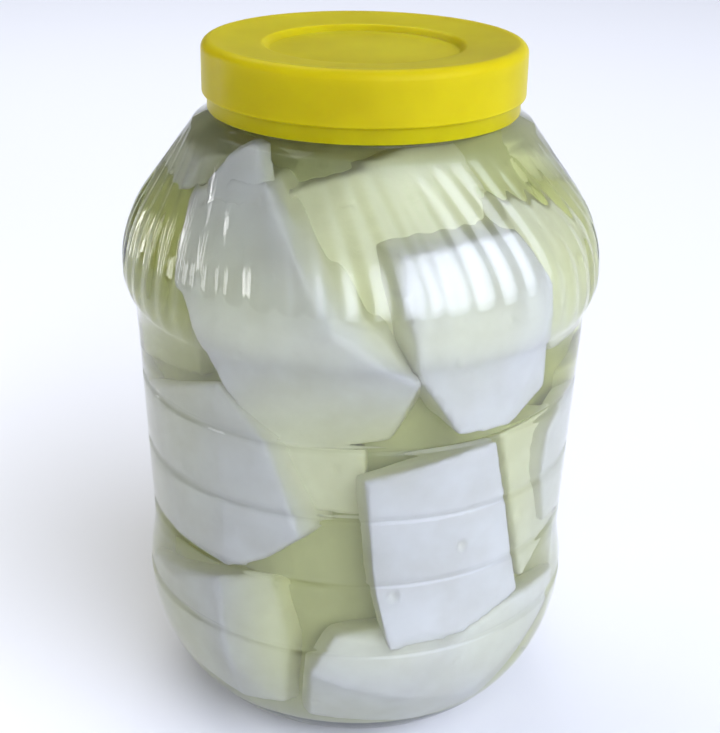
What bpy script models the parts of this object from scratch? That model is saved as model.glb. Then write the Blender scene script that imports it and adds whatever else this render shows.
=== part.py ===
"""Brined goat cheese in its jar: blocks of white cheese in a clear wide-mouthed jar with a yellow lid.

The jar is turned and then fluted on the shoulder, the lid is turned, and the cheese is one heap of
blocks that lean against the jar's wall round a core. Units are metres, +Z is up, the origin is the
middle of the base, and azimuth 0 is the front of the jar (-Y), turning towards +X.
"""

import math
import random
from collections import namedtuple

import bmesh
import bpy
from mathutils import Matrix, Vector

MM = 0.001

# Jar, outside
BASE_RING_INNER = 40.0 * MM
PUSH_UP_HEIGHT = 9.0 * MM
HEEL_CENTRE_RADIUS = 28.0 * MM
HEEL_TOP = 57.0 * MM
HEEL_WIDTH = 55.6 * MM
HEEL_DEPTH = 61.0 * MM
WAIST_HEIGHT = 77.0 * MM
WAIST_RADIUS = 81.3 * MM
BODY_TOP = 168.5 * MM
BODY_TOP_RADIUS = 85.1 * MM
BULGE_HEIGHT = 181.0 * MM
BULGE_RADIUS = 89.5 * MM
BULGE_LOWER_ARC = 20.0 * MM
BULGE_UPPER_ARC = 46.0 * MM
SHOULDER_SLOPE = math.radians(36.0)
LEDGE_HEIGHT = 238.0 * MM
LEDGE_ARC = 4.0 * MM
NECK_RADIUS = 54.0 * MM
RIM_HEIGHT = 257.0 * MM
JAR_SEGMENTS = 108

# Grooves round the body
GROOVE_HEIGHTS = [57.5 * MM, 86.0 * MM, 112.7 * MM, 140.2 * MM]
GROOVE_WIDTH = 5.0 * MM
GROOVE_DEPTH = 0.9 * MM

# Flutes on the shoulder: they start upright above the body and lean over towards the neck
FLUTES = JAR_SEGMENTS // 2
FLUTE_DEPTH = 1.1 * MM
FLUTE_BOTTOM = 170.0 * MM
FLUTE_FULL = 181.0 * MM
FLUTE_FADE = 222.0 * MM
FLUTE_TOP = 234.0 * MM
FLUTE_LEAN = math.radians(16.0)
FLUTE_LEAN_POWER = 1.8

# Jar, inside
WALL = 1.5 * MM
NECK_WALL = 2.2 * MM
FLOOR = 2.0 * MM
CONE_INSIDE_TOP = LEDGE_HEIGHT - 3.0 * MM
CAVITY_SEGMENTS = 54
CAVITY_OVERSHOOT = 5.0 * MM

# Lid
LID_SEGMENTS = 72
LID_RADIUS = 58.5 * MM
LID_BOTTOM = 244.0 * MM
LID_TOP = 263.0 * MM
LID_EDGE_ARC = 3.5 * MM
LID_HEM_ARC = 1.0 * MM
LID_RIM_INNER = 53.5 * MM
LID_STEP_RADIUS = 36.5 * MM
LID_STEP_TOP = 261.2 * MM
LID_DISC_RADIUS = 34.5 * MM
LID_DISC_HEIGHT = 258.9 * MM
LID_BORE_RADIUS = 55.0 * MM
LID_SEAT_INNER = 50.5 * MM
LID_TOP_WALL = 1.7 * MM
BAND_RADIUS = 56.7 * MM
GAP = 0.3 * MM

# Cheese: the blocks' corners stay inside the pack radius, which widens above the body
PACK_RADIUS = 79.0 * MM
PACK_RISE_HEIGHT = 150.0 * MM
PACK_RISE = 0.11
WALL_CLEARANCE = 1.2 * MM
CORE_RADIUS = 46.0 * MM
CORE_BOTTOM = 16.0 * MM
CORE_TOP = 222.0 * MM
CORE_SEGMENTS = 16
BACK_SEED = 7

# A block is the corners of its outer faces, as azimuth in degrees, height in mm and distance back from
# the wall in mm, and how far it reaches inwards in mm.
Block = namedtuple("Block", "name corners reach")

FRONT_BLOCKS = [
    Block("big_left", [
        (-56, 215, 3), (-41, 224, 2), (-29, 225, 2), (-16, 205, 3), (-6, 183, 3), (5, 172, 1), (14, 164, 0),
        (-34, 157, 1), (-38, 171, 2), (-48, 190, 4), (-26, 136, 9), (-7, 136, 11), (9, 138, 12), (12, 149, 9),
    ], 34),
    Block("top_left", [
        (-47, 227, 1), (-45, 233, 2), (-37, 234, 2), (-30, 230, 2), (-28, 218, 5), (-43, 218, 5),
    ], 22),
    Block("high_right", [
        (10, 206, 3), (23, 208, 2), (43, 209, 2), (50, 192, 1), (47, 176, 2), (53, 151, 2), (40, 141, 1),
        (25, 142, 0), (15, 164, 1), (10, 194, 3),
    ], 40),
    Block("behind_top", [
        (-25, 219, 16), (13, 220, 18), (44, 216, 20), (31, 198, 18), (16, 161, 10), (-2, 176, 12), (-15, 199, 12),
    ], 22),
    Block("top_right", [
        (49, 220, 14), (75, 208, 13), (84, 196, 10), (80, 164, 7), (60, 162, 9), (53, 176, 11), (53, 196, 14),
        (47, 210, 18),
    ], 28),
    Block("left", [
        (-82, 142, 3), (-70, 142, 2), (-37, 157, 3), (-23, 140, 1), (-16, 118, 1), (-10, 104, 0), (-24, 91, 1),
        (-36, 82, 0), (-56, 83, 2), (-80, 84, 4),
    ], 38),
    Block("behind_left", [(-26, 137, 9), (2, 136, 14), (3, 108, 18), (-12, 110, 14)], 24),
    Block("low_left", [
        (-78, 68, 5), (-60, 70, 3), (-39, 77, 0), (-37, 60, 0), (-35, 43, 0), (-35, 23, 1), (-80, 30, 4),
        (-26, 80, 14), (-20, 52, 16), (-21, 26, 8),
    ], 24),
    Block("low_right", [
        (2, 128, 0), (20, 134, 0), (36, 137, 0), (40, 111, 0), (49, 67, 0), (28, 60, 0), (9, 58, 0), (5, 84, 0),
    ], 44),
    Block("bottom", [
        (-5, 62, 6), (-11, 48, 0), (-2, 43, 0), (13, 36, 0), (36, 28, 0), (65, 52, 1), (72, 62, 2), (51, 65, 2),
        (26, 57, 2), (-14, 22, 4), (20, 17, 4), (43, 20, 3),
    ], 34),
    Block("right", [(45, 131, 14), (63, 140, 10), (76, 82, 8), (56, 66, 10)], 26),
    Block("far_right", [
        (72, 143, 1), (58, 130, 2), (57, 114, 2), (63, 88, 4), (86, 84, 3), (90, 138, 2),
    ], 30),
    Block("left_deep", [(-92, 198, 14), (-86, 158, 16), (-58, 160, 20), (-60, 205, 18)], 20),
    Block("low_right_side", [(74, 80, 3), (98, 84, 2), (100, 30, 2), (72, 28, 3)], 34),
    Block("left_side", [(-112, 142, 3), (-88, 140, 2), (-86, 88, 3), (-112, 86, 4)], 36),
]

# The rest of the wall is covered in tiers: height of the middle in mm, height of the blocks in mm,
# first and last azimuth in degrees and number of blocks.
Tier = namedtuple("Tier", "middle height first last count")
BACK_TIERS = [
    Tier(54, 56, 110, 256, 4),
    Tier(116, 58, 108, 238, 4),
    Tier(182, 56, 112, 250, 4),
    Tier(220, 18, 80, 300, 4),
]
BACK_WIDTH = 52.0 * MM
BACK_ROLL = math.radians(11.0)
BACK_REACH = 36.0

PARTS = "brined_goat_cheese"
CUTTERS = "cutters"


def reset_scene():
    """Remove every object so that the script starts from nothing."""
    for item in list(bpy.data.objects):
        bpy.data.objects.remove(item, do_unlink=True)


def make_collection(name):
    """Add a collection to the scene."""
    collection = bpy.data.collections.new(name)
    bpy.context.scene.collection.children.link(collection)
    return collection


def make_material(name, color, roughness, transmission=0.0):
    """Make a Principled material."""
    material = bpy.data.materials.new(name)
    material.use_nodes = True
    shader = material.node_tree.nodes["Principled BSDF"]
    shader.inputs["Base Color"].default_value = (*color, 1.0)
    shader.inputs["Roughness"].default_value = roughness
    shader.inputs["Metallic"].default_value = 0.0
    shader.inputs["Transmission Weight"].default_value = transmission
    return material


def arc(centre, radius, start, end, count):
    """Points (r, z) along an arc, with angles in radians from +r towards +z."""
    points = []
    for index in range(count):
        angle = start + (end - start) * index / (count - 1)
        points.append((centre[0] + radius * math.cos(angle), centre[1] + radius * math.sin(angle)))
    return points


def smooth_step(value, low, high):
    """Rise smoothly from 0 at low to 1 at high."""
    share = min(max((value - low) / (high - low), 0.0), 1.0)
    return share * share * (3.0 - 2.0 * share)


# ---------------------------------------------------------------- jar


def heel_radius(z, inset=0.0):
    """Radius of the elliptic heel, or of its inner face at a distance inside."""
    share = (HEEL_TOP - z) / (HEEL_DEPTH - inset)
    return HEEL_CENTRE_RADIUS + (HEEL_WIDTH - inset) * math.sqrt(max(0.0, 1.0 - share * share))


def cone_bottom():
    """Height and radius where the shoulder's arc goes over into its cone."""
    height = BULGE_HEIGHT + BULGE_UPPER_ARC * math.sin(SHOULDER_SLOPE)
    radius = BULGE_RADIUS - BULGE_UPPER_ARC * (1.0 - math.cos(SHOULDER_SLOPE))
    return height, radius


def wall_radius(z):
    """Radius of the jar's plain outer wall, without grooves or flutes, up to the ledge."""
    heel_edge = heel_radius(HEEL_TOP)
    cone_height, cone_radius = cone_bottom()
    if z < HEEL_TOP:
        return heel_radius(z)
    if z < WAIST_HEIGHT:
        return heel_edge + (WAIST_RADIUS - heel_edge) * smooth_step(z, HEEL_TOP, WAIST_HEIGHT)
    if z < BODY_TOP:
        share = (z - WAIST_HEIGHT) / (BODY_TOP - WAIST_HEIGHT)
        return WAIST_RADIUS + (BODY_TOP_RADIUS - WAIST_RADIUS) * share
    if z < BULGE_HEIGHT:
        rise = BULGE_HEIGHT - z
        return BULGE_RADIUS - BULGE_LOWER_ARC + math.sqrt(BULGE_LOWER_ARC ** 2 - rise ** 2)
    if z < cone_height:
        rise = z - BULGE_HEIGHT
        return BULGE_RADIUS - BULGE_UPPER_ARC + math.sqrt(BULGE_UPPER_ARC ** 2 - rise ** 2)
    return cone_radius - (z - cone_height) * math.tan(SHOULDER_SLOPE)


def push_up(radius):
    """Height of the domed underside at a radius inside the standing ring."""
    share = min(radius / BASE_RING_INNER, 1.0)
    return PUSH_UP_HEIGHT * (1.0 - share * share)


def jar_outline():
    """Outer profile of the jar from the middle of the rim plane down to the middle of the base."""
    points = [(0.0, RIM_HEIGHT), (NECK_RADIUS, RIM_HEIGHT), (NECK_RADIUS, LEDGE_HEIGHT)]
    cone_height, _ = cone_bottom()
    heights = [LEDGE_HEIGHT - 0.2 * LEDGE_ARC, LEDGE_HEIGHT - LEDGE_ARC]
    heights += [LEDGE_HEIGHT - 3.5 * LEDGE_ARC, cone_height + LEDGE_ARC]
    heights += [BULGE_HEIGHT + 19.0 * MM, BULGE_HEIGHT + 9.0 * MM, BULGE_HEIGHT]
    heights += [BULGE_HEIGHT - 7.0 * MM, BODY_TOP]
    for middle in reversed(GROOVE_HEIGHTS):
        heights += [middle + GROOVE_WIDTH / 2, middle, middle - GROOVE_WIDTH / 2]
        if middle == GROOVE_HEIGHTS[1]:
            heights.append(WAIST_HEIGHT)
    heights += [44.0 * MM, 32.0 * MM, 21.0 * MM, 12.0 * MM, 5.0 * MM, 0.0]
    for height in heights:
        radius = wall_radius(height)
        if height in GROOVE_HEIGHTS:
            radius -= GROOVE_DEPTH
        points.append((radius, height))
    points += [(BASE_RING_INNER, 0.0), (BASE_RING_INNER / 2, push_up(BASE_RING_INNER / 2))]
    points.append((0.0, PUSH_UP_HEIGHT))
    return points


def cavity_outline():
    """Profile of the jar's inside, open above the rim, down to the middle of the floor."""
    neck_inner = NECK_RADIUS - NECK_WALL
    top = RIM_HEIGHT + CAVITY_OVERSHOOT
    cone_height, _ = cone_bottom()
    slope_wall = WALL / math.cos(SHOULDER_SLOPE)
    points = [(0.0, top), (neck_inner, top), (neck_inner, LEDGE_HEIGHT - NECK_WALL)]
    for height in [CONE_INSIDE_TOP, cone_height]:
        points.append((wall_radius(height) - slope_wall, height))
    for height in [BULGE_HEIGHT + 12.0 * MM, BULGE_HEIGHT, BODY_TOP, WAIST_HEIGHT, HEEL_TOP]:
        points.append((wall_radius(height) - WALL, height))
    for height in [34.0 * MM, 18.0 * MM, 8.0 * MM, FLOOR]:
        points.append((heel_radius(height, WALL), height))
    for radius in [BASE_RING_INNER, BASE_RING_INNER / 2, 0.0]:
        points.append((radius, push_up(radius) + FLOOR))
    return points


def turned_object(name, outline, segments, collection):
    """Turn a profile, listed down its outer side, into an object with a Screw modifier."""
    mesh = bpy.data.meshes.new(name)
    vertices = [(radius, 0.0, height) for radius, height in outline]
    edges = [(index, index + 1) for index in range(len(outline) - 1)]
    mesh.from_pydata(vertices, edges, [])
    turned = bpy.data.objects.new(name, mesh)
    collection.objects.link(turned)
    screw = turned.modifiers.new("turn", "SCREW")
    screw.axis = "Z"
    screw.steps = segments
    screw.render_steps = segments
    screw.use_merge_vertices = True
    screw.merge_threshold = 0.00001
    return turned


def applied(source):
    """Bake an object's modifiers into its mesh, with coincident points joined."""
    graph = bpy.context.evaluated_depsgraph_get()
    mesh = bpy.data.meshes.new_from_object(source.evaluated_get(graph))
    edit = bmesh.new()
    edit.from_mesh(mesh)
    bmesh.ops.remove_doubles(edit, verts=edit.verts, dist=0.00001)
    edit.to_mesh(mesh)
    edit.free()
    source.modifiers.clear()
    source.data = mesh
    return source


def flute_lean(z):
    """How far a flute has turned round the jar at a height."""
    share = max(0.0, (z - FLUTE_FULL) / (LEDGE_HEIGHT - FLUTE_FULL))
    return -FLUTE_LEAN * min(share, 1.0) ** FLUTE_LEAN_POWER


def carve_flutes(mesh):
    """Turn each ring of points with the flutes and set every second point back into a valley."""
    pitch = math.tau / JAR_SEGMENTS
    for vertex in mesh.vertices:
        radius = math.hypot(vertex.co.x, vertex.co.y)
        height = vertex.co.z
        if radius < BASE_RING_INNER:
            continue
        angle = math.atan2(vertex.co.y, vertex.co.x)
        if round(angle / pitch) % 2:
            rise = smooth_step(height, FLUTE_BOTTOM, FLUTE_FULL)
            fade = 1.0 - smooth_step(height, FLUTE_FADE, FLUTE_TOP)
            radius -= FLUTE_DEPTH * rise * fade
        angle += flute_lean(height)
        vertex.co.x = radius * math.cos(angle)
        vertex.co.y = radius * math.sin(angle)


def build_jar(parts, cutters):
    """Turn the jar, flute its shoulder and cut its inside out."""
    jar = applied(turned_object("jar", jar_outline(), JAR_SEGMENTS, parts))
    carve_flutes(jar.data)
    jar.data.materials.append(make_material("clear_pet", (0.90, 0.94, 0.90), 0.05, 1.0))
    cavity = turned_object("jar_cavity", cavity_outline(), CAVITY_SEGMENTS, cutters)
    cavity.hide_render = True
    cavity.display_type = "WIRE"
    cut = jar.modifiers.new("inside", "BOOLEAN")
    cut.operation = "DIFFERENCE"
    cut.object = cavity
    return jar


# ---------------------------------------------------------------- lid


def lid_outline():
    """Profile of the lid from the middle of its sunk disc, over the rim, to the middle of its underside."""
    quarter = math.pi / 2
    edge_centre = (LID_RADIUS - LID_EDGE_ARC, LID_TOP - LID_EDGE_ARC)
    hem_centre = (LID_RADIUS - LID_HEM_ARC, LID_BOTTOM + LID_HEM_ARC)
    band_bottom = LEDGE_HEIGHT + GAP
    underside = RIM_HEIGHT + GAP
    points = [(0.0, LID_DISC_HEIGHT), (LID_DISC_RADIUS, LID_DISC_HEIGHT)]
    points += [(LID_STEP_RADIUS, LID_STEP_TOP), (LID_RIM_INNER, LID_TOP - 0.3 * MM)]
    points += arc(edge_centre, LID_EDGE_ARC, quarter, 0.0, 4)
    points += arc(hem_centre, LID_HEM_ARC, 0.0, -quarter, 2)
    points += [(BAND_RADIUS, LID_BOTTOM), (BAND_RADIUS, band_bottom), (LID_BORE_RADIUS, band_bottom)]
    points += [(LID_BORE_RADIUS, underside), (LID_SEAT_INNER, underside)]
    points.append((LID_SEAT_INNER - 1.0 * MM, LID_TOP - 0.6 * MM - LID_TOP_WALL))
    points.append((LID_STEP_RADIUS + 1.5 * MM, LID_STEP_TOP - LID_TOP_WALL))
    points += [(LID_STEP_RADIUS - 0.5 * MM, underside - 0.1 * MM), (0.0, underside - 0.1 * MM)]
    return points


def build_lid(parts):
    """Turn the lid with its sunk disc, sloping rim, rounded edge, skirt and narrower lower band."""
    lid = turned_object("lid", lid_outline(), LID_SEGMENTS, parts)
    lid.data.materials.append(make_material("yellow_plastic", (0.72, 0.62, 0.02), 0.30))
    return lid


# ---------------------------------------------------------------- cheese


def face_radius(z):
    """Radius that a block's corner may reach at a height."""
    slope_wall = WALL / math.cos(SHOULDER_SLOPE)
    if z < HEEL_TOP:
        inner = heel_radius(z, WALL)
    else:
        inner = wall_radius(z) - slope_wall
    pack = PACK_RADIUS + PACK_RISE * max(0.0, z - PACK_RISE_HEIGHT)
    return min(inner - WALL_CLEARANCE, pack)


def block_corners(block):
    """Corner points of a block: those of its outer faces, and the same ones pushed inwards."""
    middle = math.radians(sum(azimuth for azimuth, _, _ in block.corners) / len(block.corners))
    inwards = Vector((-math.sin(middle), math.cos(middle), 0.0)) * block.reach * MM
    corners = []
    for azimuth, height, setback in block.corners:
        angle = math.radians(azimuth)
        radius = face_radius(height * MM) - setback * MM
        corner = Vector((radius * math.sin(angle), -radius * math.cos(angle), height * MM))
        corners += [corner, corner + inwards]
    return corners


def block_object(block, collection):
    """Make a block as the hull of its corners."""
    edit = bmesh.new()
    corners = [edit.verts.new(corner) for corner in block_corners(block)]
    hull = bmesh.ops.convex_hull(edit, input=corners)
    spare = {item for item in hull["geom_interior"] + hull["geom_unused"] if item in corners}
    bmesh.ops.delete(edit, geom=list(spare), context="VERTS")
    bmesh.ops.recalc_face_normals(edit, faces=edit.faces)
    mesh = bpy.data.meshes.new(block.name)
    edit.to_mesh(mesh)
    edit.free()
    item = bpy.data.objects.new(block.name, mesh)
    collection.objects.link(item)
    return item


def back_blocks():
    """Blocks for the rest of the wall: tiers of rolled rectangles with seeded differences."""
    draw = random.Random(BACK_SEED)
    blocks = []
    for level, tier in enumerate(BACK_TIERS):
        for index in range(tier.count):
            middle = tier.first + (tier.last - tier.first) * index / (tier.count - 1)
            width = BACK_WIDTH * draw.uniform(0.88, 1.06)
            height = tier.height * MM * draw.uniform(0.88, 1.04)
            roll = draw.uniform(-BACK_ROLL, BACK_ROLL)
            radius = face_radius(tier.middle * MM)
            setback = draw.uniform(0.5, 4.0)
            outline = []
            for side, end in [(-1, 1), (1, 1), (1, -1), (-1, -1)]:
                corner = Matrix.Rotation(roll, 2) @ Vector((side * width / 2, end * height / 2))
                azimuth = middle + math.degrees(corner.x / radius)
                outline.append((azimuth, tier.middle + corner.y / MM, setback))
            blocks.append(Block(f"back_{level}_{index}", outline, BACK_REACH))
    return blocks


def build_cheese(parts):
    """Join the core and all the blocks into one heap."""
    bpy.ops.mesh.primitive_cylinder_add(
        vertices=CORE_SEGMENTS,
        radius=CORE_RADIUS,
        depth=CORE_TOP - CORE_BOTTOM,
        location=(0.0, 0.0, (CORE_TOP + CORE_BOTTOM) / 2),
    )
    heap = bpy.context.object
    heap.name = "cheese"
    for collection in list(heap.users_collection):
        collection.objects.unlink(heap)
    parts.objects.link(heap)
    pieces = make_collection("cheese_blocks")
    for block in FRONT_BLOCKS + back_blocks():
        block_object(block, pieces)
    join = heap.modifiers.new("join", "BOOLEAN")
    join.operation = "UNION"
    join.operand_type = "COLLECTION"
    join.collection = pieces
    applied(heap)
    for piece in list(pieces.objects):
        bpy.data.objects.remove(piece, do_unlink=True)
    bpy.data.collections.remove(pieces)
    heap.data.materials.append(make_material("white_cheese", (0.86, 0.86, 0.84), 0.55))
    return heap


def shade(item):
    """Shade an object smooth with its hard edges kept sharp."""
    item.data.shade_smooth()
    item.data.set_sharp_from_angle(angle=math.radians(35.0))


def build():
    """Build the jar, the lid and the cheese."""
    reset_scene()
    parts = make_collection(PARTS)
    cutters = make_collection(CUTTERS)
    jar = build_jar(parts, cutters)
    lid = build_lid(parts)
    cheese = build_cheese(parts)
    for item in (jar, lid, cheese):
        shade(item)


build()
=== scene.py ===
"""Blocks of brined goat cheese in a clear jar with a yellow lid, dressed for rendering.

Lengths are in metres, +Z is up and the origin is the middle of the jar's base. Azimuths are in
degrees from the front of the jar (-Y) towards its right (+X).
"""

from __future__ import annotations

import logging
import math
import random
from dataclasses import dataclass, field
from enum import Enum

import bmesh
import bpy
from mathutils import Matrix, Quaternion, Vector, noise

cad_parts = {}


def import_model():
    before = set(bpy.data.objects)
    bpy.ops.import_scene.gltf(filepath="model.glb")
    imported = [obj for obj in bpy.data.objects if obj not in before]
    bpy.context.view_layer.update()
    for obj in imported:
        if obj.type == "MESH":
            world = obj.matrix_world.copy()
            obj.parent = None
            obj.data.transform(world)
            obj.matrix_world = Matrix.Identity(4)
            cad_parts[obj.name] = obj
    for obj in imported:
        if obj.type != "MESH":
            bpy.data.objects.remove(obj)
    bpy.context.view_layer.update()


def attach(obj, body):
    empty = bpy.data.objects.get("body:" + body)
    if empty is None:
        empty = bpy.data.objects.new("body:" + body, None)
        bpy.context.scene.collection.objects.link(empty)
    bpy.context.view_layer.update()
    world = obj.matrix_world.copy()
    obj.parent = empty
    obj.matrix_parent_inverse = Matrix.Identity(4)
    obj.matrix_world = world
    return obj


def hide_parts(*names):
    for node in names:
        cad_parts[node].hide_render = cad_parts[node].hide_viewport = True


LOG = logging.getLogger("brined_goat_cheese")
MM = 0.001
MERGE = 0.002 * MM
BODY = "root"
SECTORS = 18

Profile = list[tuple[float, float]]
Offsets = tuple[tuple[float, float], ...]
Pit = tuple[Vector, float, float]


# ---------------------------------------------------------------- small helpers


def srgb(code: str) -> tuple[float, float, float, float]:
    """Turn an sRGB hex colour into a linear one.

    Args:
        code: Six hex digits, such as "F2EFE6".

    Returns:
        Linear red, green and blue with full alpha.
    """
    values = []
    for start in (0, 2, 4):
        share = int(code[start : start + 2], 16) / 255.0
        values.append(share / 12.92 if share <= 0.04045 else ((share + 0.055) / 1.055) ** 2.4)
    return (values[0], values[1], values[2], 1.0)


def smooth_step(value: float, low: float, high: float) -> float:
    """Rise smoothly from 0 at low to 1 at high."""
    share = min(max((value - low) / (high - low), 0.0), 1.0)
    return share * share * (3.0 - 2.0 * share)


def spread(low: float, high: float, count: int) -> list[float]:
    """Give count values spread evenly from low to high, both included."""
    return [low + (high - low) * index / (count - 1) for index in range(count)]


def on_circle(radius: float, azimuth: float, height: float) -> Vector:
    """Give the point at a radius, an azimuth in degrees and a height."""
    angle = math.radians(azimuth)
    return Vector((radius * math.sin(angle), -radius * math.cos(angle), height))


def arc(centre: tuple[float, float], radius: float, start: float, end: float, count: int) -> Profile:
    """Give points (r, z) along an arc.

    Args:
        centre: Middle of the arc.
        radius: Its radius.
        start: First angle in degrees from +r towards +z.
        end: Last angle in degrees.
        count: Number of points.

    Returns:
        The points in order.
    """
    points = []
    for degrees in spread(start, end, count):
        angle = math.radians(degrees)
        points.append((centre[0] + radius * math.cos(angle), centre[1] + radius * math.sin(angle)))
    return points


def turned(profile: Profile, steps: int) -> bmesh.types.BMesh:
    """Turn a profile round the jar's axis.

    Args:
        profile: Points (r, z) in order; the ends lie on the axis, or the first point is repeated last.
        steps: Number of segments round the axis, a multiple of the sectors.

    Returns:
        A closed shell with its poles merged and its faces pointing outwards.
    """
    edit = bmesh.new()
    verts = [edit.verts.new((0.0, -radius, height)) for radius, height in profile]
    for first, second in zip(verts, verts[1:]):
        edit.edges.new((first, second))
    sector = math.tau / SECTORS
    about = {"cent": (0.0, 0.0, 0.0), "axis": (0.0, 0.0, 1.0), "dvec": (0.0, 0.0, 0.0)}
    bmesh.ops.spin(edit, geom=edit.verts[:] + edit.edges[:], angle=sector, steps=steps // SECTORS, **about)
    wedge = edit.verts[:] + edit.edges[:] + edit.faces[:]
    bmesh.ops.spin(edit, geom=wedge, angle=math.tau - sector, steps=SECTORS - 1, use_duplicate=True, **about)
    bmesh.ops.remove_doubles(edit, verts=edit.verts, dist=MERGE)
    bmesh.ops.recalc_face_normals(edit, faces=edit.faces)
    return edit


def add_object(name: str, edit: bmesh.types.BMesh) -> bpy.types.Object:
    """Turn a bmesh into an object at the origin, shaded smooth, and free the bmesh.

    Args:
        name: The object's name.
        edit: The bmesh, in metres from the origin.

    Returns:
        The new object.
    """
    mesh = bpy.data.meshes.new(name)
    edit.to_mesh(mesh)
    edit.free()
    mesh.shade_smooth()
    item = bpy.data.objects.new(name, mesh)
    bpy.context.scene.collection.objects.link(item)
    return item


def add_node(
    tree: bpy.types.NodeTree,
    kind: str,
    settings: dict[str, object] | None = None,
    values: dict[str | int, object] | None = None,
    links: dict[str | int, bpy.types.NodeSocket] | None = None,
) -> bpy.types.Node:
    """Add a node with its settings, socket values and incoming links.

    Args:
        tree: The material's node tree.
        kind: Blender's name of the node type.
        settings: Properties of the node.
        values: Values of input sockets.
        links: Output sockets to link to input sockets.

    Returns:
        The new node.
    """
    node = tree.nodes.new(kind)
    for key, value in (settings or {}).items():
        setattr(node, key, value)
    for key, value in (values or {}).items():
        node.inputs[key].default_value = value
    for key, socket in (links or {}).items():
        tree.links.new(socket, node.inputs[key])
    return node


def new_material(name: str) -> tuple[bpy.types.Material, bpy.types.NodeTree, bpy.types.Node]:
    """Make a material and give it with its tree and its Principled shader.

    Args:
        name: The material's name.

    Returns:
        The material, its node tree and its Principled shader.
    """
    material = bpy.data.materials.new(name)
    material.use_nodes = True
    tree = material.node_tree
    return material, tree, tree.nodes["Principled BSDF"]


@dataclass(frozen=True)
class Mottle:
    """An uneven pattern: its size in metres, how much finer detail it has and how rough that is."""

    size: float
    detail: float
    roughness: float = 0.5

    def build(self, tree: bpy.types.NodeTree) -> bpy.types.NodeSocket:
        """Add the pattern, fixed to the piece.

        Args:
            tree: The material's node tree.

        Returns:
            The pattern's value, from 0 to 1.
        """
        place = add_node(tree, "ShaderNodeTexCoord")
        pattern = add_node(
            tree,
            "ShaderNodeTexNoise",
            values={"Scale": 1.0 / self.size, "Detail": self.detail, "Roughness": self.roughness},
            links={"Vector": place.outputs["Object"]},
        )
        return pattern.outputs[0]


def two_tones(
    tree: bpy.types.NodeTree, pattern: Mottle, dark: str, light: str, edge: float
) -> bpy.types.NodeSocket:
    """Blend two tones over a pattern.

    Args:
        tree: The material's node tree.
        pattern: Where each tone lies.
        dark: The darker tone as six hex digits.
        light: The lighter tone as six hex digits.
        edge: The pattern's value where the dark tone ends; the light one starts as far from 1.

    Returns:
        The blended colour.
    """
    ramp = add_node(tree, "ShaderNodeValToRGB", links={"Fac": pattern.build(tree)})
    ends = ramp.color_ramp.elements
    ends[0].position, ends[1].position = edge, 1.0 - edge
    ends[0].color, ends[1].color = srgb(dark), srgb(light)
    return ramp.outputs[0]


def relief(
    tree: bpy.types.NodeTree, pattern: Mottle, height: float, strength: float
) -> bpy.types.NodeSocket:
    """Give the surface's direction where a pattern raises it by a height in metres.

    Args:
        tree: The material's node tree.
        pattern: Where the surface is raised.
        height: How high it is raised, in metres.
        strength: How much of that shows, from 0 to 1.

    Returns:
        The surface's direction.
    """
    bump = add_node(
        tree,
        "ShaderNodeBump",
        values={"Strength": strength, "Distance": height},
        links={"Height": pattern.build(tree)},
    )
    return bump.outputs[0]


# ---------------------------------------------------------------- finishes


@dataclass(frozen=True)
class ClearPet:
    """Blow-moulded PET: clear and glossy, with a faint waviness where the wall stretched in the mould."""

    name: str = "clear_blown_pet"
    tint: str = "FDFFFE"
    ior: float = 1.36
    roughness: float = 0.03
    waves: Mottle = Mottle(14.0 * MM, 1.0, 0.4)
    wave_height: float = 0.03 * MM

    def material(self) -> bpy.types.Material:
        """Build the material.

        Returns:
            The new material.
        """
        material, tree, shader = new_material(self.name)
        shader.inputs["Base Color"].default_value = srgb(self.tint)
        shader.inputs["Roughness"].default_value = self.roughness
        shader.inputs["IOR"].default_value = self.ior
        shader.inputs["Transmission Weight"].default_value = 1.0
        tree.links.new(relief(tree, self.waves, self.wave_height, 1.0), shader.inputs["Normal"])
        return material


@dataclass(frozen=True)
class Brine:
    """Salt brine coloured yellow-green by whey: as clear as water in a thin layer, greener where deep."""

    name: str = "whey_brine"
    tint: str = "FFFFFF"
    ior: float = 1.34
    colour: str = "F0F36C"
    density: float = 18.0

    def material(self) -> bpy.types.Material:
        """Build the material.

        Returns:
            The new material.
        """
        material, tree, shader = new_material(self.name)
        shader.inputs["Base Color"].default_value = srgb(self.tint)
        shader.inputs["Roughness"].default_value = 0.0
        shader.inputs["IOR"].default_value = self.ior
        shader.inputs["Transmission Weight"].default_value = 1.0
        absorption = add_node(
            tree,
            "ShaderNodeVolumeAbsorption",
            values={"Color": srgb(self.colour), "Density": self.density},
        )
        tree.links.new(absorption.outputs[0], tree.nodes["Material Output"].inputs["Volume"])
        return material


@dataclass(frozen=True)
class GoatCheese:
    """Brined goat cheese: chalk-white, moist and close, with fine curd grain and a few small eyes."""

    name: str = "white_goat_cheese"
    light: str = "FAF9F7"
    dark: str = "F1EFEA"
    clouds: Mottle = Mottle(22.0 * MM, 3.0, 0.55)
    cloud_edge: float = 0.35
    grain: Mottle = Mottle(1.6 * MM, 2.0, 0.6)
    grain_height: float = 0.12 * MM
    grain_strength: float = 0.6
    roughness: float = 0.5
    ior: float = 1.2

    def material(self) -> bpy.types.Material:
        """Build the material.

        Returns:
            The new material.
        """
        material, tree, shader = new_material(self.name)
        colour = two_tones(tree, self.clouds, self.dark, self.light, self.cloud_edge)
        curd = relief(tree, self.grain, self.grain_height, self.grain_strength)
        tree.links.new(colour, shader.inputs["Base Color"])
        tree.links.new(curd, shader.inputs["Normal"])
        shader.inputs["Roughness"].default_value = self.roughness
        shader.inputs["IOR"].default_value = self.ior
        return material


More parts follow.
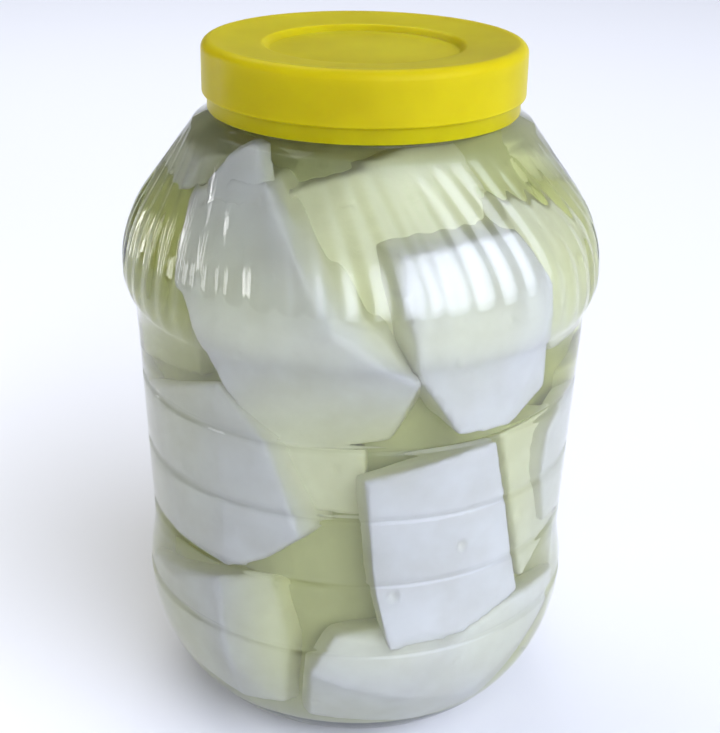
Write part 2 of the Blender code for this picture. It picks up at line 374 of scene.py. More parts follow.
@dataclass(frozen=True)
class YellowPolypropylene:
    """Injection-moulded polypropylene: strong yellow, satin, a little light passes through it."""

    name: str = "yellow_moulded_polypropylene"
    light: str = "B8AA14"
    dark: str = "AC9D12"
    clouds: Mottle = Mottle(30.0 * MM, 2.0)
    cloud_edge: float = 0.3
    peel: Mottle = Mottle(0.9 * MM, 1.0)
    peel_height: float = 0.012 * MM
    peel_strength: float = 0.5
    roughness: float = 0.3
    ior: float = 1.12
    light_reach: float = 9.0 * MM
    light_spread: tuple[float, float, float] = (1.0, 0.8, 0.1)

    def material(self) -> bpy.types.Material:
        """Build the material.

        Returns:
            The new material.
        """
        material, tree, shader = new_material(self.name)
        colour = two_tones(tree, self.clouds, self.dark, self.light, self.cloud_edge)
        skin = relief(tree, self.peel, self.peel_height, self.peel_strength)
        tree.links.new(colour, shader.inputs["Base Color"])
        tree.links.new(skin, shader.inputs["Normal"])
        shader.inputs["Roughness"].default_value = self.roughness
        shader.inputs["IOR"].default_value = self.ior
        shader.inputs["Subsurface Weight"].default_value = 1.0
        shader.inputs["Subsurface Radius"].default_value = self.light_spread
        shader.inputs["Subsurface Scale"].default_value = self.light_reach
        return material


@dataclass(frozen=True)
class StudioFloor:
    """Matt white paper: pale and even, with no gloss."""

    name: str = "white_studio_paper"
    colour: str = "F2F2F2"

    def material(self) -> bpy.types.Material:
        """Build the material.

        Returns:
            The new material.
        """
        material, _, shader = new_material(self.name)
        shader.inputs["Base Color"].default_value = srgb(self.colour)
        shader.inputs["Roughness"].default_value = 1.0
        shader.inputs["Specular IOR Level"].default_value = 0.0
        return material


# ---------------------------------------------------------------- jar


@dataclass
class JarForm:
    """Sizes of the jar, and its radius at any height.

    The wall rises from a standing ring over an elliptic heel, a waist, a body that widens a little, a
    bulge of two arcs and a sloping shoulder to the neck. Grooves ring the body, and flutes lean over
    the shoulder.
    """

    ring_inner: float = 40.0 * MM
    ring_outer: float = 43.0 * MM
    push_up: float = 9.0 * MM
    heel_centre: float = 28.0 * MM
    heel_top: float = 57.0 * MM
    heel_width: float = 55.6 * MM
    heel_depth: float = 61.0 * MM
    waist_height: float = 77.0 * MM
    waist_radius: float = 81.3 * MM
    body_top: float = 168.5 * MM
    body_top_radius: float = 85.1 * MM
    bulge_height: float = 181.0 * MM
    bulge_radius: float = 89.5 * MM
    bulge_lower_arc: float = 20.0 * MM
    bulge_upper_arc: float = 46.0 * MM
    shoulder_slope: float = math.radians(36.0)
    ledge_height: float = 238.0 * MM
    neck_radius: float = 54.0 * MM
    neck_crease: Offsets = ((1.2 * MM, -1.0 * MM), (0.0, 0.3 * MM))
    neck_fillet: float = 3.0 * MM
    neck_ease: float = 1.5 * MM
    rim_height: float = 257.0 * MM
    rim_chamfer: float = 0.6 * MM
    wall: float = 1.5 * MM
    sloping_wall: float = 1.854 * MM
    neck_wall: float = 2.2 * MM
    floor: float = 2.0 * MM
    floor_edge: tuple[float, float] = (44.0 * MM, 5.0 * MM)
    grooves: tuple[float, ...] = (57.5 * MM, 86.0 * MM, 112.7 * MM, 140.2 * MM)
    groove_width: float = 5.0 * MM
    groove_depth: float = 0.9 * MM
    groove_clear: float = 1.5 * MM
    flutes: int = 54
    flute_depth: float = 0.9 * MM
    flute_bottom: float = 166.0 * MM
    flute_full: float = 190.0 * MM
    flute_fade: float = 222.0 * MM
    flute_top: float = 234.0 * MM
    flute_lean: float = math.radians(16.0)
    flute_lean_power: float = 1.8

    def heel_radius(self, height: float, inset: float = 0.0) -> float:
        """Give the radius of the elliptic heel, or of its inner face at an inset."""
        share = (self.heel_top - height) / (self.heel_depth - inset)
        return self.heel_centre + (self.heel_width - inset) * math.sqrt(max(0.0, 1.0 - share * share))

    def cone_foot(self) -> tuple[float, float]:
        """Find where the shoulder's arc goes over into its cone.

        Returns:
            Height and radius.
        """
        height = self.bulge_height + self.bulge_upper_arc * math.sin(self.shoulder_slope)
        radius = self.bulge_radius - self.bulge_upper_arc * (1.0 - math.cos(self.shoulder_slope))
        return height, radius

    def wall_radius(self, height: float) -> float:
        """Give the radius of the plain outer wall, without grooves or flutes, up to the ledge.

        Args:
            height: A height between the base and the ledge.

        Returns:
            The radius there.
        """
        cone_height, cone_radius = self.cone_foot()
        heel_edge = self.heel_radius(self.heel_top)
        if height < self.heel_top:
            return self.heel_radius(height)
        if height < self.waist_height:
            fall = smooth_step(height, self.heel_top, self.waist_height)
            return heel_edge + (self.waist_radius - heel_edge) * fall
        if height < self.body_top:
            share = (height - self.waist_height) / (self.body_top - self.waist_height)
            return self.waist_radius + (self.body_top_radius - self.waist_radius) * share
        if height < self.bulge_height:
            rise = self.bulge_height - height
            return self.bulge_radius - self.bulge_lower_arc + math.sqrt(self.bulge_lower_arc**2 - rise**2)
        if height < cone_height:
            rise = height - self.bulge_height
            return self.bulge_radius - self.bulge_upper_arc + math.sqrt(self.bulge_upper_arc**2 - rise**2)
        return cone_radius - (height - cone_height) * math.tan(self.shoulder_slope)

    def grooved_radius(self, height: float) -> float:
        """Give the radius of the outer wall with its grooves.

        Args:
            height: A height between the base and the ledge.

        Returns:
            The radius there.
        """
        radius = self.wall_radius(height)
        for middle in self.grooves:
            away = abs(height - middle) / (self.groove_width / 2)
            if away < 1.0:
                radius -= self.groove_depth * (0.5 + 0.5 * math.cos(math.pi * away))
        return radius

    def dome(self, radius: float) -> float:
        """Give the height of the domed underside at a radius inside the standing ring."""
        share = min(radius / self.ring_inner, 1.0)
        return self.push_up * (1.0 - share * share)

    def inner_radius(self, height: float) -> float:
        """Give the radius of the inner face of the wall, below the neck.

        Args:
            height: A height between the floor and the neck.

        Returns:
            The radius there.
        """
        if height < self.heel_top:
            return self.heel_radius(height, self.wall)
        if height < self.body_top:
            return self.wall_radius(height) - self.wall
        slope = smooth_step(height, self.bulge_height, self.cone_foot()[0])
        return self.wall_radius(height) - self.wall - (self.sloping_wall - self.wall) * slope

    def flute_reach(self, height: float) -> float:
        """Give how deep the flutes are at a height."""
        rise = smooth_step(height, self.flute_bottom, self.flute_full)
        return self.flute_depth * rise * (1.0 - smooth_step(height, self.flute_fade, self.flute_top))

    def room_radius(self, height: float) -> float:
        """Give the radius of the room inside the wall, clear of the flutes."""
        return self.inner_radius(height) - self.flute_reach(height)

    def lean(self, height: float) -> float:
        """Give how far a flute has turned round the jar at a height."""
        share = (height - self.flute_full) / (self.ledge_height - self.flute_full)
        return -self.flute_lean * min(max(share, 0.0), 1.0) ** self.flute_lean_power

    def press_flutes(self, edit: bmesh.types.BMesh) -> None:
        """Press the flutes into the shoulder, through the whole wall as blowing does.

        Args:
            edit: The turned shell, changed in place.
        """
        for vert in edit.verts:
            height = vert.co.z
            if not self.flute_bottom < height < self.flute_top:
                continue
            radius = math.hypot(vert.co.x, vert.co.y)
            if radius < self.inner_radius(height) - self.wall / 2:
                continue
            angle = math.atan2(vert.co.y, vert.co.x)
            wave = 0.5 - 0.5 * math.cos(self.flutes * (angle - self.lean(height)))
            shrink = (radius - self.flute_reach(height) * wave) / radius
            vert.co.x *= shrink
            vert.co.y *= shrink

    def inside_profile(self, level: float, inset: float = 0.0) -> Profile:
        """Give the inner face from a level down to the middle of the floor.

        Args:
            level: Height of the first point.
            inset: How far the profile lies outside the inner face, in the wall.

        Returns:
            Points (r, z) from the level down to the axis.
        """
        points = []
        neck_inner = self.neck_radius - self.neck_wall
        joint = self.ledge_height - self.neck_wall
        foot = joint + self.neck_ease
        if level > joint:
            points += [(neck_inner + inset, height) for height in spread(level, foot, count=5)]
            turn_end = 180.0 + math.degrees(self.shoulder_slope)
            turn = arc((neck_inner + self.neck_fillet, foot), self.neck_fillet, 180.0, turn_end, count=4)
            points += [(radius + inset, height) for radius, height in turn[1:]]
        edge_radius, edge_height = self.floor_edge
        for height in spread(min(level, joint - self.neck_ease), edge_height, count=92):
            points.append((self.inner_radius(height) + inset, height))
        for radius in spread(edge_radius, 0.0, count=10):
            points.append((radius, self.dome(radius) + self.floor - inset))
        return points


@dataclass
class Jar:
    """The clear jar: grooved body, fluted shoulder and plain neck."""

    form: JarForm
    finish: ClearPet = field(default_factory=ClearPet)
    steps: int = 432

    def outer_profile(self) -> Profile:
        """Give the outer face from the middle of the base up to the rim.

        Returns:
            Points (r, z) from the axis up to the rim.
        """
        form = self.form
        points = [(radius, form.dome(radius)) for radius in spread(0.0, form.ring_inner, count=9)]
        points.append((form.ring_outer, 0.0))
        middles = sorted(form.grooves)
        half = form.groove_width / 2
        heights = spread(0.0, middles[0] - half - form.groove_clear, count=16)
        for index, middle in enumerate(middles):
            heights += spread(middle - half, middle + half, count=9)
            if index + 1 < len(middles):
                heights += spread(middle + half, middles[index + 1] - half, count=5)[1:-1]
        heights += spread(middles[-1] + half, form.body_top, count=5)[1:]
        heights += spread(form.body_top, form.flute_top, count=44)[1:]
        points += [(form.grooved_radius(height), height) for height in heights]
        points += [(form.neck_radius + out, form.ledge_height + up) for out, up in form.neck_crease]
        points += [(form.neck_radius, form.rim_height - form.rim_chamfer)]
        points += [(form.neck_radius - form.rim_chamfer, form.rim_height)]
        return points

    def build(self) -> bpy.types.Object:
        """Build the jar and dress it.

        Returns:
            The finished jar.
        """
        form = self.form
        inside = form.inside_profile(form.rim_height - form.rim_chamfer)
        rim = [(form.neck_radius - form.neck_wall + form.rim_chamfer, form.rim_height)]
        edit = turned(self.outer_profile() + rim + inside, self.steps)
        form.press_flutes(edit)
        jar = add_object("jar_clear_pet", edit)
        jar.data.materials.append(self.finish.material())
        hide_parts("jar")
        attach(jar, BODY)
        return jar


@dataclass
class BrineFill:
    """The brine round the cheese: a closed body that reaches just into the jar's wall."""

    form: JarForm
    finish: Brine = field(default_factory=Brine)
    level: float = 238.0 * MM
    meniscus: float = 1.0 * MM
    reach: float = 0.4 * MM
    skin_edge: Offsets = ((2.0 * MM, 0.1), (1.0 * MM, 0.4))
    steps: int = 432

    def build(self) -> bpy.types.Object:
        """Build the brine and dress it.

        Returns:
            The finished brine.
        """
        profile = self.form.inside_profile(self.level + self.meniscus, self.reach)
        edge = profile[0][0]
        skin = [(edge * share, self.level) for share in (0.0, 0.5, 0.9)]
        skin += [(edge - back, self.level + climb * self.meniscus) for back, climb in self.skin_edge]
        edit = turned(skin + profile, self.steps)
        self.form.press_flutes(edit)
        brine = add_object("brine", edit)
        brine.data.materials.append(self.finish.material())
        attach(brine, BODY)
        return brine


# ---------------------------------------------------------------- lid


@dataclass
class Lid:
    """The yellow lid: sunk disc, sloping rim, rounded edge, plain skirt and a narrower lower band."""

    form: JarForm
    finish: YellowPolypropylene = field(default_factory=YellowPolypropylene)
    steps: int = 180
    radius: float = 58.5 * MM
    bottom: float = 244.0 * MM
    top: float = 263.0 * MM
    edge_arc: float = 3.5 * MM
    hem_arc: float = 1.0 * MM
    rim_inner: float = 53.5 * MM
    step_radius: float = 36.5 * MM
    step_top: float = 261.2 * MM
    disc_radius: float = 34.5 * MM
    disc_flat: float = 33.5 * MM
    disc_height: float = 258.9 * MM
    disc_corner: Offsets = ((-0.3 * MM, 0.1 * MM), (0.0, 0.4 * MM))
    step_corner: Offsets = ((-0.5 * MM, -0.5 * MM), (0.0, -0.1 * MM), (0.8 * MM, 0.0))
    rim_dip: float = 0.3 * MM
    bore: float = 55.0 * MM
    seat_inner: float = 50.5 * MM
    hollow_radius: float = 49.5 * MM
    hollow_dip: float = 0.6 * MM
    boss_radius: float = 38.0 * MM
    plate_radius: float = 36.0 * MM
    plate_dip: float = 0.1 * MM
    top_wall: float = 1.7 * MM
    skirt: tuple[float, float] = (257.0 * MM, 246.0 * MM)
    band_radius: float = 56.7 * MM
    band_corner: Offsets = ((0.3 * MM, 0.0), (0.0, -0.4 * MM))
    band_foot: Offsets = ((0.0, 0.5 * MM), (-0.4 * MM, 0.0))
    gap: float = 0.3 * MM
    sharp_from: float = math.radians(50.0)

    def top_side(self) -> Profile:
        """Give the lid's upper face from the middle of its disc to its rounded edge.

        Returns:
            Points (r, z) from the axis outwards.
        """
        edge = (self.radius - self.edge_arc, self.top - self.edge_arc)
        points = [(radius, self.disc_height) for radius in spread(0.0, self.disc_flat, count=6)]
        points += [(self.disc_radius + out, self.disc_height + up) for out, up in self.disc_corner]
        points += [(self.step_radius + out, self.step_top + up) for out, up in self.step_corner]
        slope = self.top - self.rim_dip - self.step_top
        for share in (0.25, 0.5, 0.75, 1.0):
            radius = self.step_radius + (self.rim_inner - self.step_radius) * share
            points.append((radius, self.step_top + slope * share))
        return points + arc(edge, self.edge_arc, 90.0, 0.0, count=10)

    def underside(self) -> Profile:
        """Give the lid's lower face from its bore to the middle, a wall's thickness below the top.

        Returns:
            Points (r, z) from the bore to the axis.
        """
        seat = self.form.rim_height + self.gap
        plate = seat - self.plate_dip
        return [
            (self.bore, seat),
            (self.seat_inner, seat),
            (self.hollow_radius, self.top - self.hollow_dip - self.top_wall),
            (self.boss_radius, self.step_top - self.top_wall),
            (self.plate_radius, plate),
            (0.0, plate),
        ]

    def profile(self) -> Profile:
        """Give the closed section of the lid from the middle of its disc to the middle of its underside.

        Returns:
            Points (r, z) round the section.
        """
        hem = (self.radius - self.hem_arc, self.bottom + self.hem_arc)
        band_bottom = self.form.ledge_height + self.gap
        points = self.top_side()
        points += [(self.radius, height) for height in spread(*self.skirt, count=6)]
        points += arc(hem, self.hem_arc, 0.0, -90.0, count=5)
        points += [(self.band_radius + out, self.bottom + up) for out, up in self.band_corner]
        points += [(self.band_radius + out, band_bottom + up) for out, up in self.band_foot]
        return points + [(self.bore, band_bottom)] + self.underside()

    def build(self) -> bpy.types.Object:
        """Build the lid and dress it.

        Returns:
            The finished lid.
        """
        lid = add_object("lid_yellow", turned(self.profile(), self.steps))
        lid.data.set_sharp_from_angle(angle=self.sharp_from)
        lid.data.materials.append(self.finish.material())
        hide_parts("lid")
        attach(lid, BODY)
        return lid


# ---------------------------------------------------------------- cheese


@dataclass(frozen=True)
class Block:
    """One block: the corners of its outer faces and how far it reaches inwards, in mm.

    A corner is (azimuth in degrees, height in mm, distance inside the jar's wall in mm). A pit is
    (azimuth in degrees, height in mm, radius in mm, depth in mm).
    """

    name: str
    corners: tuple[tuple[float, float, float], ...]
    reach: float
    pits: tuple[tuple[float, float, float, float], ...] = ()


FRONT_BLOCKS = (
    Block(
        "big_left",
        (
            (-56, 215, 3), (-41, 224, 2), (-29, 225, 2), (-16, 205, 3), (-6, 183, 3), (5, 172, 1),
            (14, 164, 0), (-34, 157, 1), (-38, 171, 2), (-48, 190, 4), (-26, 136, 11), (-7, 136, 15),
            (9, 138, 17), (12, 149, 13), (-28, 143, 8),
        ),
        34,
    ),
    Block(
        "top_left",
        (
            (-51, 221, 1), (-47, 230, 2), (-42, 235, 2), (-37, 234, 2), (-31, 226, 2), (-27, 217, 3),
            (-47, 214, 3),
        ),
        9,
    ),
    Block(
        "high_right",
        (
            (10, 206, 4), (23, 208, 3), (43, 209, 3), (50, 192, 1), (47, 176, 2), (53, 151, 2),
            (40, 141, 1), (25, 142, 0), (15, 164, 1), (10, 194, 3),
        ),
        25,
    ),
    Block(
        "behind_top",
        (
            (-26, 218, 19), (-3, 224, 23), (12, 227, 25), (30, 229, 27), (50, 226, 27), (46, 212, 20),
            (31, 198, 20), (16, 161, 15), (-2, 176, 16), (-15, 199, 17),
        ),
        12,
    ),
    Block(
        "top_right",
        (
            (49, 214, 14), (75, 204, 13), (84, 194, 10), (80, 164, 7), (60, 162, 9), (53, 176, 11),
            (53, 196, 14), (47, 206, 18),
        ),
        28,
    ),
    Block(
        "left",
        (
            (-82, 136, 4), (-70, 138, 3), (-37, 157, 3), (-23, 140, 1), (-18, 118, 1), (-14, 103, 0),
            (-24, 91, 1), (-36, 82, 0), (-56, 83, 2), (-80, 84, 4),
        ),
        24,
    ),
    Block("behind_left", ((-26, 137, 9), (2, 136, 14), (3, 108, 18), (-12, 110, 14)), 24),
    Block(
        "low_left",
        (
            (-80, 58, 5), (-60, 63, 3), (-39, 77, 0), (-37, 60, 0), (-35, 43, 0), (-35, 23, 1),
            (-80, 30, 4), (-26, 80, 14), (-20, 52, 16), (-21, 26, 8),
        ),
        24,
    ),
    Block(
        "low_right",
        (
            (2, 128, 0), (20, 134, 0), (36, 137, 0), (40, 111, 0), (49, 67, 0), (28, 60, 0), (9, 58, 0),
            (5, 84, 0),
        ),
        17,
        ((27.8, 97, 2.5, 3.4), (9.7, 80, 2.3, 3.0)),
    ),
    Block(
        "bottom",
        (
            (-5, 62, 6), (-11, 48, 0), (-2, 43, 0), (13, 36, 0), (36, 28, 0), (65, 52, 1), (72, 62, 2),
            (51, 65, 2), (26, 57, 2), (-14, 22, 4), (20, 17, 4), (43, 20, 3),
        ),
        14,
    ),
    Block("right", ((45, 131, 14), (63, 140, 10), (76, 82, 8), (56, 66, 10)), 26),
    Block(
        "far_right",
        ((72, 143, 1), (58, 130, 2), (57, 114, 2), (63, 88, 4), (86, 84, 3), (90, 138, 2)),
        18,
    ),
    Block("left_deep", ((-94, 206, 16), (-88, 144, 15), (-52, 150, 18), (-56, 211, 18)), 14),
    Block("low_right_side", ((74, 80, 3), (98, 84, 2), (100, 30, 2), (72, 28, 3)), 34),
    Block("left_side", ((-112, 142, 3), (-88, 140, 2), (-86, 88, 3), (-112, 86, 4)), 36),
)


@dataclass(frozen=True)
class Tier:
    """A row of blocks round the back: heights in mm, azimuths in degrees."""

    middle: float
    height: float
    first: float
    last: float
    count: int


BACK_TIERS = (
    Tier(54, 56, 110, 256, 4),
    Tier(116, 58, 108, 238, 4),
    Tier(182, 56, 112, 250, 4),
    Tier(217, 12, 112, 278, 4),
)

# The core's low dome, from its side to its middle: (radius, height) in mm
CORE_TOP = ((58, 188), (54, 203), (46, 216), (38, 224), (30, 227), (0, 228))

# Pieces given a darker, greyer cheese colour as painted shade: the core, seen in the gaps between blocks,
# and the deep block on the shaded left side
SHADE_PAINTED_PIECES = ("cheese_core", "cheese_left_deep")


@dataclass
class CheesePack:
    """The blocks of cheese that lean against the wall, round a core of more cheese."""

    form: JarForm
    finish: GoatCheese = field(default_factory=GoatCheese)
    # A darker, greyer cheese colour that paints shade onto the pieces that lie in shade
    shade_painted_finish: GoatCheese = GoatCheese(name="goat_cheese_painted_shade", light="DEDECF", dark="D3D3C2")
    taper: float = 0.9
    core_radius: float = 58.0 * MM
    core_bottom: float = 16.0 * MM
    core_steps: int = 2 * SECTORS
    back_width: float = 52.0 * MM
    back_width_range: tuple[float, float] = (0.88, 1.06)
    back_height_range: tuple[float, float] = (0.88, 1.04)
    back_setback_range: tuple[float, float] = (1.5, 5.0)
    back_roll: float = math.radians(11.0)
    back_reach: float = 36.0
    back_seed: int = 7
    voxel: float = 1.3 * MM
    softenings: int = 4
    softening: float = 0.6
    swell: float = 0.35 * MM
    swell_size: float = 17.0 * MM
    dent: float = 0.14 * MM
    dent_size: float = 4.5 * MM
    pattern_step: Vector = field(default_factory=lambda: Vector((0.37, 0.61, 0.13)))
    eyes: int = 6
    eye_radius_range: tuple[float, float] = (1.8, 2.8)
    eye_depth_range: tuple[float, float] = (0.4, 1.1)
    pit_floor: float = 0.15
    film: float = 0.4 * MM

    def corners(self, block: Block) -> list[Vector]:
        """Give the corners of a block: those of its outer faces and the same ones pushed inwards.

        Args:
            block: The block.

        Returns:
            The corners in metres, outer ones first.
        """
        middle = sum(azimuth for azimuth, _, _ in block.corners) / len(block.corners)
        inwards = -on_circle(block.reach * MM, middle, 0.0)
        outer = [
            on_circle(self.form.inner_radius(height * MM) - depth * MM, azimuth, height * MM)
            for azimuth, height, depth in block.corners
        ]
        heart = sum(outer, Vector()) / len(outer)
        return outer + [heart.lerp(corner, self.taper) + inwards for corner in outer]

    def back_blocks(self) -> list[Block]:
        """Give the blocks of the back: tiers of rolled rectangles with seeded differences.

        Returns:
            The blocks, tier by tier.
        """
        draw = random.Random(self.back_seed)
        blocks = []
        for level, tier in enumerate(BACK_TIERS):
            for index, middle in enumerate(spread(tier.first, tier.last, tier.count)):
                width = self.back_width * draw.uniform(*self.back_width_range)
                height = tier.height * MM * draw.uniform(*self.back_height_range)
                turn = Matrix.Rotation(draw.uniform(-self.back_roll, self.back_roll), 2)
                radius = self.form.inner_radius(tier.middle * MM)
                setback = draw.uniform(*self.back_setback_range)
                outline = []
                for side, end in ((-1, 1), (1, 1), (1, -1), (-1, -1)):
                    corner = turn @ Vector((side * width / 2, end * height / 2))
                    azimuth = middle + math.degrees(corner.x / radius)
                    outline.append((azimuth, tier.middle + corner.y / MM, setback))
                blocks.append(Block(f"back_{level}_{index}", tuple(outline), self.back_reach))
        return blocks

    def cut_block(self, corners: list[Vector]) -> bmesh.types.BMesh:
        """Make the plain block as the hull of its corners.

        Args:
            corners: The block's corners in metres.

        Returns:
            The closed hull, with its faces pointing outwards.
        """
        edit = bmesh.new()
        verts = [edit.verts.new(corner) for corner in corners]
        hull = bmesh.ops.convex_hull(edit, input=verts)
        spare = {item for item in hull["geom_interior"] + hull["geom_unused"] if item in verts}
        bmesh.ops.delete(edit, geom=list(spare), context="VERTS")
        bmesh.ops.recalc_face_normals(edit, faces=edit.faces)
        return edit

    def remesh(self, item: bpy.types.Object) -> None:
        """Give a block a fine, even mesh.

        Args:
            item: The block, changed in place.
        """
        fine = item.modifiers.new("fine", "REMESH")
        fine.mode = "VOXEL"
        fine.voxel_size = self.voxel
        graph = bpy.context.evaluated_depsgraph_get()
        mesh = bpy.data.meshes.new_from_object(item.evaluated_get(graph))
        item.modifiers.clear()
        item.data = mesh

    def soften(self, item: bpy.types.Object, seed: int, pits: list[Pit]) -> None:
        """Round a block's edges and give it uneven faces, small eyes and stated pits.

        Args:
            item: The block, with a fine mesh.
            seed: The number of its random draws and of its own swells.
            pits: Its stated pits.
        """
        edit = bmesh.new()
        edit.from_mesh(item.data)
        every_way = {"use_axis_x": True, "use_axis_y": True, "use_axis_z": True}
        for _ in range(self.softenings):
            bmesh.ops.smooth_vert(edit, verts=edit.verts, factor=self.softening, **every_way)
        edit.normal_update()
        edit.verts.ensure_lookup_table()
        pits = [(self.nearest(edit, place), radius, depth) for place, radius, depth in pits]
        draw = random.Random(seed)
        for _ in range(self.eyes):
            middle = edit.verts[draw.randrange(len(edit.verts))].co.copy()
            radius = draw.uniform(*self.eye_radius_range) * MM
            pits.append((middle, radius, draw.uniform(*self.eye_depth_range) * MM))
        shift = seed * self.pattern_step
        for vert in edit.verts:
            pressed = sum(self.pit_depth(pit, vert.co) for pit in pits)
            swell = noise.noise(vert.co / self.swell_size + shift) * self.swell
            swell += noise.noise(vert.co / self.dent_size + shift) * self.dent
            vert.co += vert.normal * swell
            self.keep_inside(vert)
            vert.co -= vert.normal * pressed
        edit.to_mesh(item.data)
        edit.free()
        item.data.shade_smooth()

    def pit_depth(self, pit: Pit, place: Vector) -> float:
        """Give how deep a pit is at a place on the surface."""
        middle, radius, depth = pit
        return depth * (1.0 - smooth_step((place - middle).length, self.pit_floor * radius, radius))

    def nearest(self, edit: bmesh.types.BMesh, place: Vector) -> Vector:
        """Give the point of a block's surface that is nearest to a place."""
        return min(edit.verts, key=lambda vert: (vert.co - place).length).co.copy()

    def stated_pits(self, block: Block) -> list[Pit]:
        """Give the places, radii and depths of a block's stated pits.

        Args:
            block: The block.

        Returns:
            The place on the wall, the radius and the depth of each pit, in metres.
        """
        places = []
        for azimuth, height, radius, depth in block.pits:
            wall = self.form.inner_radius(height * MM) - self.film
            places.append((on_circle(wall, azimuth, height * MM), radius * MM, depth * MM))
        return places

    def keep_inside(self, vert: bmesh.types.BMVert) -> None:
        """Press a vertex that would touch the wall back to just inside it.

        Args:
            vert: The vertex, changed in place.
        """
        room = self.form.room_radius(vert.co.z) - self.film
        radius = math.hypot(vert.co.x, vert.co.y)
        if radius > room:
            vert.co.x *= room / radius
            vert.co.y *= room / radius

    def build_core(self) -> bpy.types.Object:
        """Build the core: a stack of cheese that the blocks lean on, heaped to a low dome at its top.

        Returns:
            The plain core.
        """
        profile = [(0.0, self.core_bottom), (self.core_radius, self.core_bottom)]
        profile += [(radius * MM, height * MM) for radius, height in CORE_TOP]
        return add_object("cheese_core", turned(profile[::-1], self.core_steps))

    def build(self) -> list[bpy.types.Object]:
        """Build every block and dress it.

        Returns:
            The finished pieces of cheese.
        """
        plain_cheese = self.finish.material()
        shade_painted = self.shade_painted_finish.material()
        heap = [(self.build_core(), [])]
        for block in FRONT_BLOCKS + tuple(self.back_blocks()):
            piece = add_object(f"cheese_{block.name}", self.cut_block(self.corners(block)))
            heap.append((piece, self.stated_pits(block)))
        for seed, (piece, pits) in enumerate(heap):
            self.remesh(piece)
            self.soften(piece, seed, pits)
            piece.data.materials.clear()
            # The core and the deep left block get the darker colour as painted shade; the other pieces keep
            # the plain cheese colour
            piece.data.materials.append(shade_painted if piece.name in SHADE_PAINTED_PIECES else plain_cheese)
            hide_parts("cheese")
            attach(piece, BODY)
        return [piece for piece, _ in heap]


# ---------------------------------------------------------------- studio


class LightSide(Enum):
    """The studio's lights.

    Azimuth and elevation in degrees, distance, width and height in metres, watts, colour.
    """

    KEY = (44.0, 26.0, 2.2, 3.0, 1.6, 30.0, "E4EAFF")
    BACK = (200.0, 60.0, 2.0, 1.6, 1.6, 17.0, "FFFFFF")
    LEFT_GLINT = (-98.0, 17.0, 0.6, 0.03, 0.2, 0.25, "FFFFFF")
    NEAR_GLINT = (-114.0, 9.0, 0.6, 0.04, 0.25, 0.35, "FFFFFF")
    FRONT_GLINT = (-70.0, 14.0, 0.7, 0.12, 0.18, 0.5, "FFFFFF")


@dataclass(frozen=True)
class SkyPatch:
    """One soft patch of light in the sky: where its middle is, its strength and its narrowness."""

    azimuth: float
    elevation: float
    strength: float
    narrowness: float


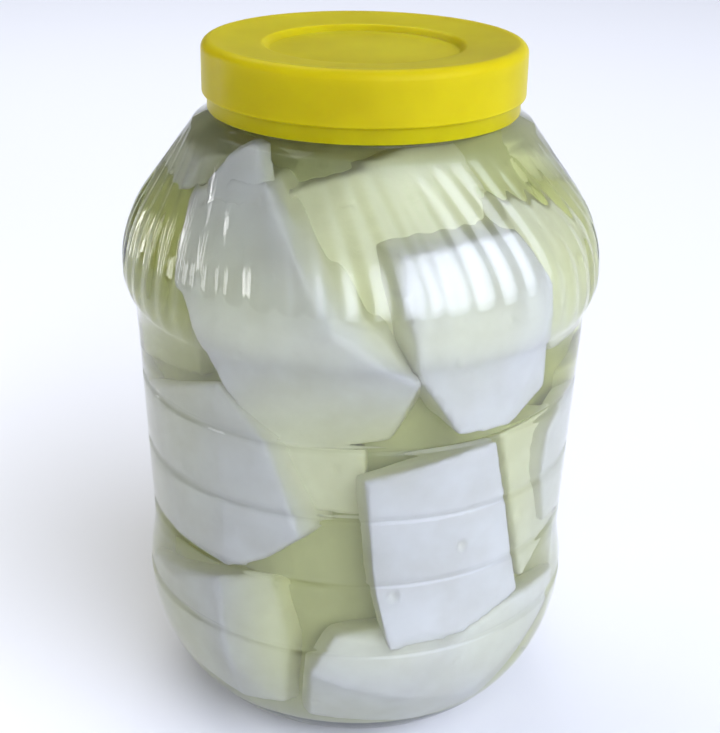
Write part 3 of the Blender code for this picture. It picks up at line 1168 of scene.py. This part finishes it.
@dataclass
class Studio:
    """Pale floor, soft light and the camera."""

    aim: Vector = field(default_factory=lambda: Vector((0.47 * MM, 0.0, 135.0 * MM)))
    distance: float = 560.0 * MM
    elevation: float = 23.5
    roll: float = 1.1
    lens: float = 70.13
    film_width: float = 36.0
    near: float = 10.0 * MM
    sky: str = "F4F5EE"
    sky_strength: float = 0.05
    window: SkyPatch = SkyPatch(40.0, 22.0, 5.8, 5.0)
    window_colour: str = "E4EAFF"
    backdrop: SkyPatch = SkyPatch(150.0, 0.0, 0.4, 3.0)
    floor_size: float = 30.0

    def build_camera(self) -> None:
        """Set the camera up."""
        data = bpy.data.cameras.new("camera")
        data.lens = self.lens
        data.sensor_width = self.film_width
        data.clip_start = self.near
        camera = bpy.data.objects.new("camera", data)
        bpy.context.scene.collection.objects.link(camera)
        angle = math.radians(self.elevation)
        back = Vector((0.0, -math.cos(angle), math.sin(angle)))
        camera.location = Vector((0.0, 0.0, self.aim.z)) + back * self.distance
        look = (self.aim - camera.location).to_track_quat("-Z", "Y")
        camera.rotation_mode = "QUATERNION"
        camera.rotation_quaternion = look @ Quaternion((0.0, 0.0, 1.0), math.radians(self.roll))
        bpy.context.scene.camera = camera

    def build_floor(self) -> None:
        """Lay the floor."""
        edit = bmesh.new()
        bmesh.ops.create_grid(edit, x_segments=1, y_segments=1, size=self.floor_size)
        floor = add_object("studio_floor", edit)
        floor.data.materials.append(StudioFloor().material())

    def patch_strength(
        self, tree: bpy.types.NodeTree, view: bpy.types.NodeSocket, patch: SkyPatch
    ) -> bpy.types.NodeSocket:
        """Add the nodes of one soft patch of the sky, brightest at its middle.

        Args:
            tree: The world's node tree.
            view: The direction looked in.
            patch: Where the patch is, and how strong and how narrow.

        Returns:
            The patch's strength in that direction.
        """
        rise = math.radians(patch.elevation)
        middle = on_circle(math.cos(rise), patch.azimuth, math.sin(rise))
        facing = add_node(
            tree,
            "ShaderNodeVectorMath",
            settings={"operation": "DOT_PRODUCT"},
            values={1: middle},
            links={0: view},
        )
        ahead = add_node(
            tree,
            "ShaderNodeMath",
            settings={"operation": "MAXIMUM"},
            values={1: 0.0},
            links={0: facing.outputs["Value"]},
        )
        narrowed = add_node(
            tree,
            "ShaderNodeMath",
            settings={"operation": "POWER"},
            values={1: patch.narrowness},
            links={0: ahead.outputs[0]},
        )
        strength = add_node(
            tree,
            "ShaderNodeMath",
            settings={"operation": "MULTIPLY"},
            values={1: patch.strength},
            links={0: narrowed.outputs[0]},
        )
        return strength.outputs[0]

    def build_sky(self) -> None:
        """Set the sky: dim all round, a wide soft window on the right, a faint backdrop behind."""
        world = bpy.data.worlds.new("studio")
        world.use_nodes = True
        tree = world.node_tree
        place = add_node(tree, "ShaderNodeTexCoord")
        window = self.patch_strength(tree, place.outputs["Generated"], self.window)
        backdrop = self.patch_strength(tree, place.outputs["Generated"], self.backdrop)
        tint = add_node(tree, "ShaderNodeValToRGB", links={"Fac": window})
        tint.color_ramp.elements[0].color = srgb(self.sky)
        tint.color_ramp.elements[1].color = srgb(self.window_colour)
        patches = add_node(
            tree, "ShaderNodeMath", settings={"operation": "ADD"}, links={0: window, 1: backdrop}
        )
        strength = add_node(
            tree,
            "ShaderNodeMath",
            settings={"operation": "ADD"},
            values={1: self.sky_strength},
            links={0: patches.outputs[0]},
        )
        sky = tree.nodes["Background"]
        tree.links.new(tint.outputs[0], sky.inputs["Color"])
        tree.links.new(strength.outputs[0], sky.inputs["Strength"])
        bpy.context.scene.world = world

    def build_lights(self) -> None:
        """Hang the lights."""
        for side in LightSide:
            azimuth, elevation, distance, width, height, watts, colour = side.value
            data = bpy.data.lights.new(side.name.lower(), "AREA")
            data.shape = "RECTANGLE"
            data.size = width
            data.size_y = height
            data.energy = watts
            data.color = srgb(colour)[:3]
            light = bpy.data.objects.new(side.name.lower(), data)
            bpy.context.scene.collection.objects.link(light)
            rise = math.radians(elevation)
            place = on_circle(distance * math.cos(rise), azimuth, distance * math.sin(rise))
            light.location = place + self.aim
            light.rotation_mode = "QUATERNION"
            light.rotation_quaternion = (-place).to_track_quat("-Z", "Y")

    def build(self) -> None:
        """Build the studio."""
        bpy.context.scene.view_settings.view_transform = "Standard"
        self.build_camera()
        self.build_floor()
        self.build_sky()
        self.build_lights()


def main() -> None:
    """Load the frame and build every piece."""
    logging.basicConfig(level=logging.INFO, format="%(name)s: %(message)s")
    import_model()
    form = JarForm()
    pieces = [Jar(form).build(), BrineFill(form).build(), Lid(form).build()]
    pieces += CheesePack(form).build()
    for piece in pieces:
        LOG.info("%s: %d faces", piece.name, len(piece.data.polygons))
    Studio().build()


if __name__ == "__main__":
    main()
